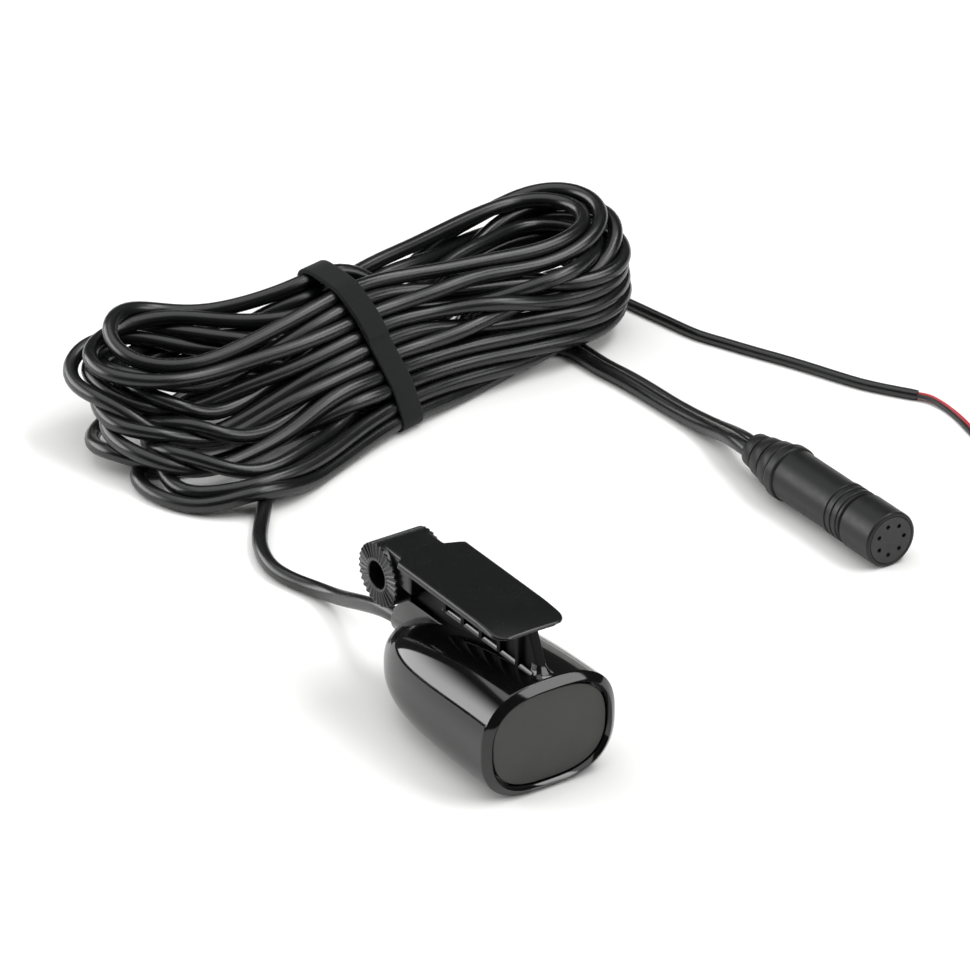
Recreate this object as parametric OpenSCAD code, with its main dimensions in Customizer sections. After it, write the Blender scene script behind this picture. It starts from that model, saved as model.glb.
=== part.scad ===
// Sonar transducer: a bullet-shaped pod with a moulded arm and a serrated pivot hub, its cable
// tied in a hank, a round seven-way connector and a power lead with two bare wires.
// Millimetres. +Y points out of the nose, +Z up. The origin is under the middle of the pod and arm.

/* [Pod] */
// Width of the pod across its sides
pod_w = 56; // [50:1:62]
// Height of the pod above its flat belly
pod_h = 43; // [40:1:47]
// Length of the pod from its rear face to its nose tip
pod_l = 92; // [85:1:100]
// Height by which the round of the belly is cut flat
belly_cut = 0.7; // [0.4:0.1:1.2]
// Squareness of the section across, 2 being an ellipse
square_x = 2.9; // [2.5:0.1:3.3]
// Squareness of the section upwards, 2 being an ellipse
square_z = 2.5; // [2.2:0.1:2.9]
// Depth by which the nose tip lies below the middle of the rear face
nose_drop = 3.6; // [0:0.2:6]
// Width of the rounded rim at the rear, seen from behind
rim_r = 3; // [2:0.2:3.4]
// Length of the rounded rim along the pod
rim_l = 1.6; // [1:0.1:2.4]

/* [Rear cover] */
// Distance of the cover's seat in from the pod's side
seat_inset = 3.8; // [3.6:0.1:4.6]
// Depth of the seat behind the rim
seat_depth = 4; // [3.4:0.1:5]
// Depth by which the cover's face lies below the rim
cover_sink = 1.6; // [0.8:0.1:2]
// Width of the ledge that the cover rests on
ledge = 1.4; // [1:0.1:2.4]
// Gap between the cover and the wall of its seat
cover_gap = 0.6; // [0.3:0.1:0.9]

/* [Arm] */
// Height of the arm's top plate above the pod's top
arm_rise = 16.5; // [14:0.5:20]
// Thickness of the plate
plate_t = 2.5; // [2:0.1:3.5]
// Width of the plate
plate_w = 29.8; // [26:0.2:36]
// Distance of the plate's rear edge from the pod's rear face
plate_rear = 11.5; // [8:0.5:16]
// Radius of the plate's rear corners
plate_corner = 6; // [3:0.5:9]
// Distance of the plate's front shoulders behind the hub's axis
shoulder_back = 15; // [13.5:0.5:20]
// Width of the web under the plate
web_w = 4; // [3.4:0.2:5]
// Width over the ribs and over the ledge at their feet
rib_w = 8; // [7:0.2:8.2]
// Thickness of a rib
rib_t = 2.4; // [1.6:0.2:3]
// Distance of the first rib ahead of the plate's rear edge
rib_first = 3.7; // [2:0.1:5]
// Distance from one rib to the next
rib_pitch = 11.4; // [10:0.1:12]
// Number of ribs
rib_count = 5; // [3:1:5]
// Height of the ledge's top above the pod's top
band_rise = 1; // [0.5:0.1:3]
// Thickness of the ledge
band_t = 1.4; // [1:0.1:2]

/* [Hub] */
// Distance of the hub's axis ahead of the nose tip
hub_ahead = -1.5; // [-4:0.5:2]
// Radius of the hub
hub_r = 12.1; // [11:0.1:13.5]
// Radius of the pivot bore
bore_r = 5.3; // [4.5:0.1:6]
// Distance of the hub's block out from the pod's middle, on the side of the pivot bolt's head
hub_left = 12; // [10:0.5:13]
// Distance of the hub's block out from the pod's middle, on the other side
hub_right = 7.5; // [6.5:0.5:10]
// Length of the serrated boss on the side of the pivot bolt's head
boss_long = 2; // [1.6:0.2:4]
// Length of the serrated boss on the other side
boss_short = 1.2; // [1.2:0.2:3]
// Number of serrations round each face
teeth = 30; // [24:1:36]
// Depth of the serrations at the rim
tooth_depth = 1; // [0.6:0.1:1.1]

/* [Cable fairing] */
// Width of the fairing between the nose and the arm
fairing_w = 8.4; // [8.2:0.1:10]
// Height of the fairing's flat top below the pod's top
fairing_drop = 6; // [5:0.5:7]
// Distance of the cable's exit ahead of the nose tip
exit_ahead = 4.3; // [3:0.1:7]
// Height of the cable's axis at its exit
exit_z = 22.5; // [20:0.5:25]
// Downward slope of the cable at its exit, in degrees
exit_slope = 8; // [4:1:10]
// Radius of the round collar at the exit
collar_r = 4.6; // [4.5:0.1:5.4]

/* [Element] */
// Diameter of the ceramic disc
disc_d = 25.4; // [20:0.2:28]
// Thickness of the ceramic disc
disc_t = 3; // [2:0.2:4]
// Distance of the disc's axis from the pod's rear face
disc_y = 36; // [33:1:42]
// Thickness of the belly wall under the disc
window_t = 3; // [2:0.2:3.6]
// Diameter of the cork backing
cork_d = 20; // [16:0.5:21]
// Thickness of the cork backing
cork_t = 5; // [3:0.5:7]

/* [Cables] */
// Diameter of the transducer cable
cable_d = 6; // [5:0.1:6.2]
// Diameter of the power lead
power_d = 4.2; // [3.5:0.1:4.4]
// Diameter of one insulated wire
wire_d = 1.7; // [1.3:0.1:1.8]
// Width of the strap round the hank
tie_w = 11; // [8:0.5:14]
// Thickness of the strap
tie_t = 1.2; // [0.8:0.1:1.6]

/* [Connector] */
// Radius of the connector's flange, on which it lies
flange_r = 11.2; // [10.5:0.1:13]
// Radius of the connector's body
body_r = 10.4; // [9.6:0.1:10.5]
// Radius of the connector's front end
front_r = 11.1; // [10.7:0.1:11.2]
// Length of the tapered boot
boot_l = 20; // [16:0.5:26]
// Length from the boot to the connector's front face
body_l = 65.5; // [58:0.5:75]
// Radius of the socket insert
insert_r = 9.3; // [8.4:0.1:9.6]
// Length of the socket insert
insert_l = 12; // [8:0.5:15]
// Number of contacts
contacts = 7; // [4:1:8]
// Radius of the circle on which the contacts stand
contact_circle = 6; // [4.5:0.1:6.4]
// Radius of one contact
contact_r = 0.85; // [0.6:0.05:1]

/* [Hidden] */

$fn = 64;
// Points round one section of the pod, and sections along its nose and its cavity
ring_points = 48;
nose_rings = 13;
cavity_rings = 7;
// Angle of the last section before the nose closes, where 90 is the tip
tip_angle = 88.5;
// Exponents of the nose: how it narrows in plan, falls along its top and rises along its keel
plan_power = 4.6;
plan_root = 1.7;
top_power = 1.9;
top_root = 2.2;
keel_power = 6.5;
keel_root = 1.5;
// Clearance of a piece in its seat, and of a contact in its socket
fit_gap = 0.3;
socket_gap = 0.05;
// Depth by which one moulded feature runs into the next
sink = 1.5;
// Thickness of the nose's wall, and of the grommet's wall in its collar
nose_wall = 7;
grommet_wall = 0.9;
// Distance of the fairing's rear end behind the hub's axis
fairing_back = 37;
// Depth of the hub's top below the plate's, and of its block's top below the hub's
hub_drop = 0.2;
block_drop = 0.1;

half_w = pod_w / 2;
half_h = (pod_h + belly_cut) / 2;
axis_z = pod_h - half_h;
hub_y = pod_l + hub_ahead;
rear_y = -(hub_y + hub_r) / 2;
plate_z = pod_h + arm_rise;
hub_z = plate_z - hub_r - hub_drop;
fairing_z = pod_h - fairing_drop;
band_z = pod_h + band_rise;
cavity_inset = seat_inset + ledge;
cavity_l = pod_l - nose_wall;
floor_z = cavity_inset;
exit_y = pod_l + exit_ahead;
entry_l = 24;
// End of the cable inside the pod
entry_y = exit_y - entry_l * cos(exit_slope);
entry_z = exit_z + entry_l * sin(exit_slope);
grommet_r = collar_r - grommet_wall;
grommet_l = 6;
resin_l = 10;
sensor_l = 7;
sensor_d = 4;
sensor_y = seat_depth + resin_l;
sensor_z = floor_z + sensor_d / 2 + fit_gap;

// Connector: where its axis lies, where the boot starts, and its groove and steps from the boot's rear
connector_x = 193.5;
connector_y = 95;
flange_l = 5;
connector_l = boot_l + body_l;
step_from = boot_l + 27;
groove_from = connector_l - 19;
groove_w = 1.5;
groove_r = insert_r + 0.7;
// Thickness of the wall behind the contacts
insert_wall = 2;

// Routes of the cords, chosen by hand
lead_route = [
    [0, 45, 22.5], [0, 55, 21.09], [1, 66, 17.5], [2, 77, 13.5], [3.5, 88, 9], [4.5, 98, 5.5],
    [4, 108, 3.5], [1, 118, 3], [-1, 129, 3], [1, 140, 3], [6, 151.5, 3], [12.5, 161, 3], [19.3, 170, 3]
];
tail_route = [
    [191.5, 209.8, 3], [191.8, 198, 3], [193.5, 186, 3], [194.5, 172, 3], [195, 158, 3],
    [195.5, 144, 3.5], [195.5, 130, 5], [194.3, 118, 7.7], [192, 107, 10.5], [191, 101, 11.2], [191, 95, 11.2]
];
power_tail_route = [
    [196.8, 210.4, 2.1], [197, 199, 2.1], [198.8, 186, 2.1], [199.8, 172, 2.1], [200.3, 158, 2.1],
    [200.8, 144, 2.8], [200.8, 130, 4.6], [199.6, 118, 7.5], [197.6, 107, 10.4], [196.7, 101, 11.2],
    [196.7, 95, 11.2]
];
power_route = [
    [233.9, 241.5, 2.1], [236.5, 227, 2.1], [239, 213, 2.1], [241.5, 200, 2.1], [246.5, 188, 2.1],
    [251.5, 176, 2.1], [256.5, 165, 2.1], [261.5, 153, 2.1], [266, 141, 2.1], [271, 129, 2.1],
    [277, 119, 2.1], [283, 110, 2.1]
];
red_route = [
    [283.75, 110.5, 2.1], [286.25, 106.75, 2.1], [287.8, 100, 1.3], [287.8, 93, 0.85], [286.8, 86, 0.85],
    [285.2, 79, 0.85], [283.6, 72, 0.85], [282.2, 66, 0.85], [281.2, 61, 0.85]
];
black_route = [
    [282.25, 109.5, 2.1], [284.75, 105.75, 2.1], [286, 99.5, 1.3], [285.9, 93, 0.85], [284.9, 86.3, 0.85],
    [283.3, 79.5, 0.85], [281.7, 72.5, 0.85], [280.3, 66.5, 0.85], [279.3, 61.5, 0.85]
];
tip_l = 6;
tip_d = 1;

// Hank: the middle of its strap, the angle across it, and its sections along that angle. Each section
// gives its distance from the strap's middle; how far its foot reaches forwards and backwards, and its
// top backwards and forwards; its lowest and highest points; and the radius of its corners.
tie_at = [94, 243, 0];
tie_angle = 13;
waist = [0, -46.5, -26.5, 10.5, -9.5, tie_t, 58.2, 10];
half_tie = [tie_w / 2, 0, 0, 0, 0, 0, 0, 0];
hank_sections = [
    [-104, -36, 28, 34, 2, 0, 26, 4],
    [-96, -51, 36, 47, 10, 0, 44, 4],
    [-75, -55, 41, 58, 8, 0, 49, 4],
    [-45, -51, 12, 44, -8, 0, 51, 5],
    waist - half_tie,
    waist + half_tie,
    [35, -47, -14, 11, -26, 0, 54, 5],
    [65, -50, 0, 17, -37, 0, 53, 4],
    [90, -54.5, 2, 18, -41, 0, 54, 4],
    [106, -54.5, 2, 9, -37, 0, 58, 4],
    [120, -52, -1, -1, -44, 0, 50, 4],
    [133.2, -42, -16, -18, -35, 0, 44, 4]
];

// A superellipse's cosine or sine, with the given squareness
function squared(v, power) = sign(v) * pow(abs(v), 2 / power);
// How far a nose of length l has closed at y, from 1 at the rear to 0 at its tip
function closing(y, l, power, root) = pow(max(0, 1 - pow(y / l, power)), 1 / root);
// Height of the line from the middle of the rear face to the nose tip
function middle_z(y) = axis_z - nose_drop * pow(y / pod_l, 2);
// One section of a nose of length l at y, set in by inset, and no lower than low_z
function section(y, l, inset, low_z) =
    let (
        mid = middle_z(y),
        hw = (half_w - inset) * closing(y, l, plan_power, plan_root),
        up = (pod_h - inset - mid) * closing(y, l, top_power, top_root),
        down = (mid + belly_cut - inset) * closing(y, l, keel_power, keel_root)
    )
    [
        for (i = [0:ring_points - 1])
            let (a = 360 * i / ring_points, q = squared(sin(a), square_z))
            [hw * squared(cos(a), square_x), y, max(low_z, mid + (q > 0 ? up : down) * q)]
    ];
function pod_section(y, inset) = section(y, pod_l, inset, -belly_cut);
function cavity_section(y, gap) = section(y, cavity_l, cavity_inset + gap, floor_z + gap);
// Height of the pod's top at y from the rear face
function top_z(y) = middle_z(y) + (pod_h - middle_z(y)) * closing(y, pod_l, top_power, top_root);

// Faces of a closed skin over rings of n points, with a point before the first and after the last
function skin_faces(m, n) = concat(
    [for (i = [0:n - 1]) [0, 1 + i, 1 + (i + 1) % n]],
    [
        for (k = [0:m - 2]) for (i = [0:n - 1])
            let (a = 1 + k * n, b = a + n, j = (i + 1) % n)
            each [[a + i, b + i, b + j], [a + i, b + j, a + j]]
    ],
    [for (i = [0:n - 1]) let (a = 1 + (m - 1) * n) [a + i, m * n + 1, a + (i + 1) % n]]
);
function flatten(rings) = [for (r = rings) for (p = r) p];
module skin(first, rings, last) {
    polyhedron(
        points = concat([first], flatten(rings), [last]),
        faces = skin_faces(len(rings), len(rings[0]))
    );
}

function unit(v) = v / norm(v);
function heading(p, i) = unit(p[min(i + 1, len(p) - 1)] - p[max(i - 1, 0)]);
// Ring of n points round point i of path p
function tube_ring(p, i, r, n) =
    let (t = heading(p, i), u = unit(cross(t, [0, 0, 1])), v = cross(u, t))
    [for (k = [0:n - 1]) p[i] + r * (cos(360 * k / n) * u - sin(360 * k / n) * v)];
module tube(path, d, n) {
    skin(path[0], [for (i = [0:len(path) - 1]) tube_ring(path, i, d / 2, n)], path[len(path) - 1]);
}

// Places what is measured from the pod's rear face
module from_rear() {
    translate([0, rear_y, 0]) children();
}

// Turns a side view (y, z) into a slab of width w across the pod
module slab(w) {
    translate([-w / 2, 0, 0]) rotate([90, 0, 90]) linear_extrude(w) children();
}

// Points along the pod's top, sunk into its wall, from y1 back to y0
function sunk_top(y0, y1, steps) = [
    for (i = [0:steps]) let (y = y1 + (y0 - y1) * i / steps) [y, top_z(y) - sink]
];

// Puts what stands along +Y at the cable's exit, with the exit's slope
module at_exit() {
    translate([0, exit_y, exit_z]) rotate([-exit_slope, 0, 0]) children();
}

module pod_shell() {
    rim_steps = 4;
    nose = [for (k = [0:nose_rings]) pod_section(pod_l * sin(tip_angle * (1 - k / nose_rings)), 0)];
    outer = [for (r = nose) if (r[0][1] > rim_l + 1) r];
    rim = [
        for (k = [0:rim_steps])
            let (a = 90 * k / rim_steps)
            pod_section(rim_l * (1 - sin(a)), rim_r * (1 - cos(a)))
    ];
    seat = [pod_section(0, seat_inset), pod_section(seat_depth, seat_inset)];
    cavity = [
        for (k = [0:cavity_rings])
            let (a = asin(seat_depth / cavity_l), b = a + (tip_angle - 4 - a) * k / cavity_rings)
            cavity_section(cavity_l * sin(b), 0)
    ];
    difference() {
        skin(
            [0, pod_l, middle_z(pod_l)],
            concat(outer, rim, seat, cavity),
            [0, cavity_l, middle_z(cavity_l)]
        );
        translate([-pod_w, -pod_l / 2, -2 * belly_cut]) cube([2 * pod_w, 2 * pod_l, 2 * belly_cut]);
    }
}

module arm_plate() {
    w = plate_w / 2;
    rear = plate_rear + plate_corner;
    front = hub_y - shoulder_back;
    shoulder_l = 3;
    translate([0, 0, plate_z - plate_t]) linear_extrude(plate_t) {
        translate([-w, rear]) square([plate_w, front - rear]);
        translate([-w + plate_corner, plate_rear]) square([plate_w - 2 * plate_corner, plate_corner + 1]);
        for (s = [-1, 1]) translate([s * (w - plate_corner), rear]) circle(plate_corner);
        polygon([[-w, front], [w, front], [hub_right, front + shoulder_l], [-hub_left, front + shoulder_l]]);
    }
}

// Web with its rear pylon, the ledge at the ribs' feet, and the ribs
module arm_web() {
    under = plate_z - plate_t / 2;
    pylon_foot = rim_l + 3;
    pylon_head = plate_rear + 0.5;
    ledge_rear = plate_rear - 4;
    ledge_front = hub_y - 4;
    slab(web_w) polygon(concat(
        [[pylon_head, under], [hub_y, under], [hub_y, fairing_z - sink]],
        sunk_top(pylon_foot, hub_y - hub_r, 10)
    ));
    slab(rib_w) translate([ledge_rear, band_z - band_t]) square([ledge_front - ledge_rear, band_t]);
    for (i = [0:rib_count - 1]) slab(rib_w)
        translate([plate_rear + rib_first + i * rib_pitch, band_z - band_t])
            square([rib_t, under - band_z + band_t]);
}

module fairing() {
    back_y = hub_y - fairing_back;
    step_y = hub_y - 3;
    collar_out = 0.8;
    collar_l = 12;
    front_y = exit_y - collar_out;
    slab(fairing_w) polygon(concat(
        [[back_y, fairing_z], [step_y, fairing_z], [front_y, exit_z + collar_r + 1], [front_y, exit_z]],
        [[pod_l - sink, axis_z]],
        sunk_top(back_y, pod_l - 4, 10)
    ));
    at_exit() rotate([90, 0, 0]) cylinder(r = collar_r, h = collar_l);
}

// A face of radial V serrations on a boss that stands along +Z
module serrated_boss(h) {
    bore_land = 0.9;
    plain_r = bore_r + bore_land;
    tilt = atan(tooth_depth * (1 - plain_r / hub_r) / (hub_r - plain_r));
    difference() {
        cylinder(r = hub_r, h = h);
        for (i = [0:teeth - 1]) rotate(360 * i / teeth)
            translate([plain_r, 0, h - tooth_depth * plain_r / hub_r])
                rotate([0, tilt, 0]) rotate([45, 0, 0]) cube([hub_r, 2 * tooth_depth, 2 * tooth_depth]);
    }
}

module hub() {
    block_back = shoulder_back + 4;
    hub_w = hub_left + hub_right;
    root = 0.5;
    translate([0, hub_y, hub_z]) {
        translate([-hub_left, 0, 0]) rotate([0, 90, 0]) cylinder(r = hub_r, h = hub_w);
        translate([-hub_left, -block_back, 0]) cube([hub_w, block_back, hub_r - block_drop]);
        translate([root - hub_left, 0, 0]) rotate([0, -90, 0]) serrated_boss(boss_long + root);
        translate([hub_right - root, 0, 0]) rotate([0, 90, 0]) serrated_boss(boss_short + root);
    }
}

module housing() {
    past = 5;
    color("#161718") from_rear() difference() {
        union() {
            pod_shell();
            arm_plate();
            arm_web();
            fairing();
            hub();
        }
        translate([0, hub_y, hub_z]) rotate([0, 90, 0]) cylinder(r = bore_r, h = 2 * pod_w, center = true);
        at_exit() rotate([90, 0, 0]) translate([0, 0, -past]) {
            cylinder(d = cable_d + 2 * fit_gap, h = past + entry_l + sink);
            cylinder(r = grommet_r, h = past + grommet_l);
        }
        translate([0, disc_y, window_t]) cylinder(d = disc_d + 2 * fit_gap, h = floor_z);
    }
}

module rear_cover() {
    inset = seat_inset + cover_gap;
    outline = [for (p = pod_section(0, inset)) [p[0], p[2]]];
    color("#484846") from_rear() translate([0, seat_depth, 0]) rotate([90, 0, 0])
        linear_extrude(seat_depth - cover_sink) polygon(outline);
}

module resin_block() {
    middle = [0, 0, axis_z];
    rings = [for (y = [seat_depth + resin_l, seat_depth]) cavity_section(y, fit_gap)];
    color("#2b2a26") from_rear()
        skin(middle + [0, seat_depth + resin_l, 0], rings, middle + [0, seat_depth, 0]);
}

module ceramic_disc() {
    color("#d8d2c4") from_rear() translate([0, disc_y, window_t]) cylinder(d = disc_d, h = disc_t);
}

module cork_backing() {
    color("#b08a5a") from_rear() translate([0, disc_y, window_t + disc_t]) cylinder(d = cork_d, h = cork_t);
}

module temperature_sensor() {
    color("#3d5a3a") from_rear() translate([0, sensor_y + sensor_l, sensor_z]) rotate([90, 0, 0])
        cylinder(d = sensor_d, h = sensor_l);
}

// A soldered wire from the rim of the disc's top, on side s, to the cable's inner end
module element_wire(s) {
    pad_x = s * (disc_d + cork_d) / 4;
    pad_z = window_t + disc_t;
    pad_h = 0.8;
    pad_r = 1.1;
    inner_d = 1.2;
    from_rear() {
        translate([pad_x, disc_y, pad_z]) cylinder(r = pad_r, h = pad_h);
        tube([
            [pad_x, disc_y, pad_z + pad_h], [pad_x, disc_y + 3, pad_z + 4],
            [pad_x * 0.8, disc_y + 10, pad_z + 10], [s * 3, entry_y - 8, entry_z - 2],
            [s * 1.4, entry_y - 3, entry_z], [s * 1.4, entry_y - fit_gap, entry_z]
        ], inner_d, 8);
    }
}
module element_wire_live() {
    color("#a02020") element_wire(1);
}
module element_wire_return() {
    color("#202020") element_wire(-1);
}

module sensor_wires() {
    over_z = window_t + disc_t + cork_t + 3;
    fine_d = 0.9;
    color("#c8c8c0") from_rear() for (s = [-1, 1]) tube([
        [s, sensor_y + sensor_l + 0.1, sensor_z], [s, sensor_y + sensor_l + 2, sensor_z + 0.5],
        [s, disc_y - 10, over_z], [s, disc_y + 10, over_z + 1],
        [s * 0.8, entry_y - 4, entry_z - 2], [s * 0.8, entry_y - 2 * fit_gap, entry_z - 1.6]
    ], fine_d, 8);
}

module cable_entry() {
    color("#1d1d1e") from_rear() at_exit() rotate([90, 0, 0]) cylinder(d = cable_d, h = entry_l);
}

module cable_grommet() {
    color("#101011") from_rear() at_exit() rotate([90, 0, 0]) difference() {
        cylinder(r = grommet_r, h = grommet_l);
        translate([0, 0, -1]) cylinder(d = cable_d, h = grommet_l + 2);
    }
}

module cable_lead() {
    color("#1d1d1e") tube(lead_route, cable_d, 12);
}
module cable_tail() {
    color("#1d1d1e") tube(tail_route, cable_d, 12);
}
module power_tail() {
    color("#202021") tube(power_tail_route, power_d, 8);
}
module power_lead() {
    color("#202021") tube(power_route, power_d, 8);
}
module red_wire() {
    color("#b8303c") tube(red_route, wire_d, 8);
}
module black_wire() {
    color("#2a2728") tube(black_route, wire_d, 8);
}

// Tinned ends, each in line with the last stretch of its wire
module wire_tips() {
    color("#c9c7c0") for (p = [red_route, black_route]) {
        end = p[len(p) - 1];
        ahead = heading(p, len(p) - 1);
        tube([end, end + tip_l * ahead], tip_d, 8);
    }
}

// Quarter of a rounded corner of a section: points on a circle round c from angle a to angle b
function corner(c, r, a, b) = [for (k = [0:4]) let (v = a + (b - a) * k / 4) c + r * [cos(v), sin(v)]];
// Outline of one section of the hank, grown by grow: foot and top are level, front and back may lean
function hank_outline(s, grow) =
    let (
        r = s[7],
        foot_front = [s[1] + r, s[5] + r],
        foot_back = [s[2] - r, s[5] + r],
        top_back = [s[3] - r, s[6] - r],
        top_front = [s[4] + r, s[6] - r],
        back = top_back - foot_back,
        front = foot_front - top_front,
        back_a = atan2(back[1], back[0]) - 90,
        front_a = atan2(front[1], front[0]) + 270
    )
    concat(
        corner(foot_back, r + grow, -90, back_a),
        corner(top_back, r + grow, back_a, 90),
        corner(top_front, r + grow, 90, front_a),
        corner(foot_front, r + grow, front_a, 270)
    );
function hank_ring(s) = [for (p = hank_outline(s, 0)) [s[0], p[0], p[1]]];
function centre(ring) = [for (p = ring) 1] * ring / len(ring);
// Places what lies along the hank, with its strap's middle at the origin
module on_hank() {
    translate(tie_at) rotate(tie_angle) children();
}

module cable_hank() {
    rings = [for (s = hank_sections) hank_ring(s)];
    color("#1b1b1c") on_hank() skin(centre(rings[0]), rings, centre(rings[len(rings) - 1]));
}

module hank_tie() {
    color("#262626") on_hank() slab(tie_w) difference() {
        polygon(hank_outline(waist, tie_t));
        polygon(hank_outline(waist, 0));
    }
}

// Places what stands along +Z on the connector's axis, from the boot's rear to its front face
module on_connector() {
    translate([connector_x, connector_y, flange_r]) rotate([90, 0, 0]) children();
}

// Three bands that grow towards the body, each with a groove after it
module connector_boot() {
    bands = 3;
    rear_r = 6.8;
    step = 1.35;
    flare = 0.6;
    groove = 0.9;
    core_r = rear_r - 0.5;
    band = boot_l / bands;
    color("#1c1c1d") on_connector() rotate_extrude() {
        for (i = [0:bands - 1]) {
            r = rear_r + i * step;
            end = (i + 1) * band - groove;
            polygon([[0, i * band], [r, i * band], [r + flare, end], [0, end]]);
        }
        square([core_r, boot_l]);
    }
}

module connector_body() {
    edge = 0.8;
    slope = 0.6;
    ring_w = 2;
    ring_rise = 0.4;
    ring_end = step_from + ring_w + 2 * slope;
    sleeve_r = front_r - 0.2;
    sleeve_from = ring_end + 1;
    flange_end = boot_l + flange_l;
    key_angle = -21;
    key_w = 2;
    key_in = 0.5;
    color("#222223") on_connector() difference() {
        rotate_extrude() polygon([
            [0, boot_l], [flange_r - edge, boot_l], [flange_r, boot_l + edge], [flange_r, flange_end - edge],
            [flange_r - edge, flange_end], [body_r, flange_end + slope],
            [body_r, step_from], [body_r + ring_rise, step_from + slope],
            [body_r + ring_rise, ring_end - slope], [body_r, ring_end],
            [body_r, sleeve_from], [sleeve_r, sleeve_from + edge], [sleeve_r, groove_from],
            [groove_r, groove_from], [groove_r, groove_from + groove_w], [front_r, groove_from + groove_w],
            [front_r, connector_l - edge], [front_r - edge, connector_l], [0, connector_l]
        ]);
        translate([0, 0, connector_l - insert_l]) cylinder(r = insert_r + 2 * socket_gap, h = 2 * insert_l);
        rotate(key_angle) translate([insert_r - key_in, -key_w / 2, connector_l - key_w])
            cube([front_r, key_w, 2 * key_w]);
    }
}

module connector_seal_ring() {
    ring_drop = 0.5;
    color("#0c0c0c") on_connector() translate([0, 0, groove_from]) difference() {
        cylinder(r = front_r - ring_drop, h = groove_w);
        translate([0, 0, -groove_w]) cylinder(r = groove_r, h = 3 * groove_w);
    }
}

// Places one child on each contact's axis, from the wall behind the contacts
module each_contact() {
    first_angle = 2;
    translate([0, 0, connector_l - insert_l + insert_wall]) for (i = [0:contacts - 1])
        rotate(first_angle + 360 * i / contacts) translate([contact_circle, 0, 0]) children();
}

module connector_insert() {
    color("#2c2c2d") on_connector() difference() {
        translate([0, 0, connector_l - insert_l]) cylinder(r = insert_r, h = insert_l);
        each_contact() cylinder(r = contact_r + socket_gap, h = insert_l);
    }
}

module connector_contacts() {
    set_back = 1;
    bore_share = 0.6;
    bore_from = 3;
    color("#b8964a") on_connector() each_contact() difference() {
        cylinder(r = contact_r, h = insert_l - insert_wall - set_back);
        translate([0, 0, bore_from]) cylinder(r = contact_r * bore_share, h = insert_l);
    }
}

housing();
rear_cover();
resin_block();
ceramic_disc();
cork_backing();
temperature_sensor();
element_wire_live();
element_wire_return();
sensor_wires();
cable_entry();
cable_grommet();
cable_lead();
cable_hank();
hank_tie();
cable_tail();
power_tail();
power_lead();
red_wire();
black_wire();
wire_tips();
connector_boot();
connector_body();
connector_seal_ring();
connector_insert();
connector_contacts();
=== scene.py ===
import bmesh
import bpy
import numpy as np
from mathutils import Matrix


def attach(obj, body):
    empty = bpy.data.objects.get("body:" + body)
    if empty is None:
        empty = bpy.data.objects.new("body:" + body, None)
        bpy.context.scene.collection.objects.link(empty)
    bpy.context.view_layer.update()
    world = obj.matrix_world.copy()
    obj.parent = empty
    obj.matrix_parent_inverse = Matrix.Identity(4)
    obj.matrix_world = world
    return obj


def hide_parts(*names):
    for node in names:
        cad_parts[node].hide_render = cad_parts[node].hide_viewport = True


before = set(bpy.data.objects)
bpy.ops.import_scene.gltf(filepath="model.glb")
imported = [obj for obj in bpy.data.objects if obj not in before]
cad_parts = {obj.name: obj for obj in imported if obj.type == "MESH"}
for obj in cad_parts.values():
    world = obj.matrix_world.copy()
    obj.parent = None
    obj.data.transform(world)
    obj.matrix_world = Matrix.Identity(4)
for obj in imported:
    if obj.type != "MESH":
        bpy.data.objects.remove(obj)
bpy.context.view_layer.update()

# Sonar transducer: glossy bullet pod with a moulded arm and serrated hub, its cable tied in a hank,
# a round seven-way connector and a power lead with two bare wires.
# Lengths are in millimetres in the part's frame, and `piece` turns them to metres. Only the stage's are in
# metres from the start.
MM = 0.001

# Camera of the photograph: where it stands, how it looks down, its focal length in picture widths, its
# sensor's width, and the range that it sees (m)
VIEW_AZIMUTH = np.radians(-33.727)
VIEW_HEIGHT = np.radians(28.509)
EYE = np.array([-1012.86, -1526.38, 1091.89])
FOCAL = 6000 / 970
SENSOR, SEES_FROM, SEES_TO = 36.0, 0.05, 60.0

# Pod, as in the part's source: its size and how far the belly is cut flat, how square its sections are, how
# far the nose tip drops, and the power and root by which the nose closes upwards, downwards and sideways
POD_W, POD_H, POD_L, BELLY_CUT = 56.0, 43.0, 92.0, 0.7
REAR_Y = -51.3
HALF_W, AXIS_Z = POD_W / 2, POD_H - (POD_H + BELLY_CUT) / 2
SQUARE_X, SQUARE_Z, POD_SIDES = 2.9, 2.5, 240
NOSE_DROP = 3.6
CLOSE_UP, CLOSE_DOWN, CLOSE_SIDE = (1.9, 2.2), (6.5, 1.5), (4.6, 1.7)
# Rear rim: its bevel's length, the cover's seat, the seat's sloping lip, and the power that flattens both
RIM_L, SEAT_INSET, SEAT_DEPTH, SEAT_LEDGE = 2.3, 3.8, 4.0, 2.0
LIP, LIP_L, FLATNESS = 1.0, 1.6, 1.8
# Rear cover: how deep it is sunk, the gap round it, and the round of its edge
COVER_SINK, COVER_GAP, COVER_EDGE = 1.6, 0.6, 0.4

# Arm plate: top, thickness, width, rear end and rear corners; round of its edges, how much its top narrows
# and is crowned; how far and over what length it falls at the rear; length of its shoulder
PLATE_Z, PLATE_T, PLATE_W, PLATE_REAR, PLATE_CORNER = 59.5, 2.5, 29.8, 11.5, 6.0
PLATE_EDGE, PLATE_TAPER, PLATE_CROWN = 0.9, 0.02, 0.3
FALL, FALL_L, SHOULDER_L = 1.4, 18.0, 3.5
# Power that squares a circle's corners, for the plate's edges and the pylon's plan
ROUND_POWER = 0.6
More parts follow.
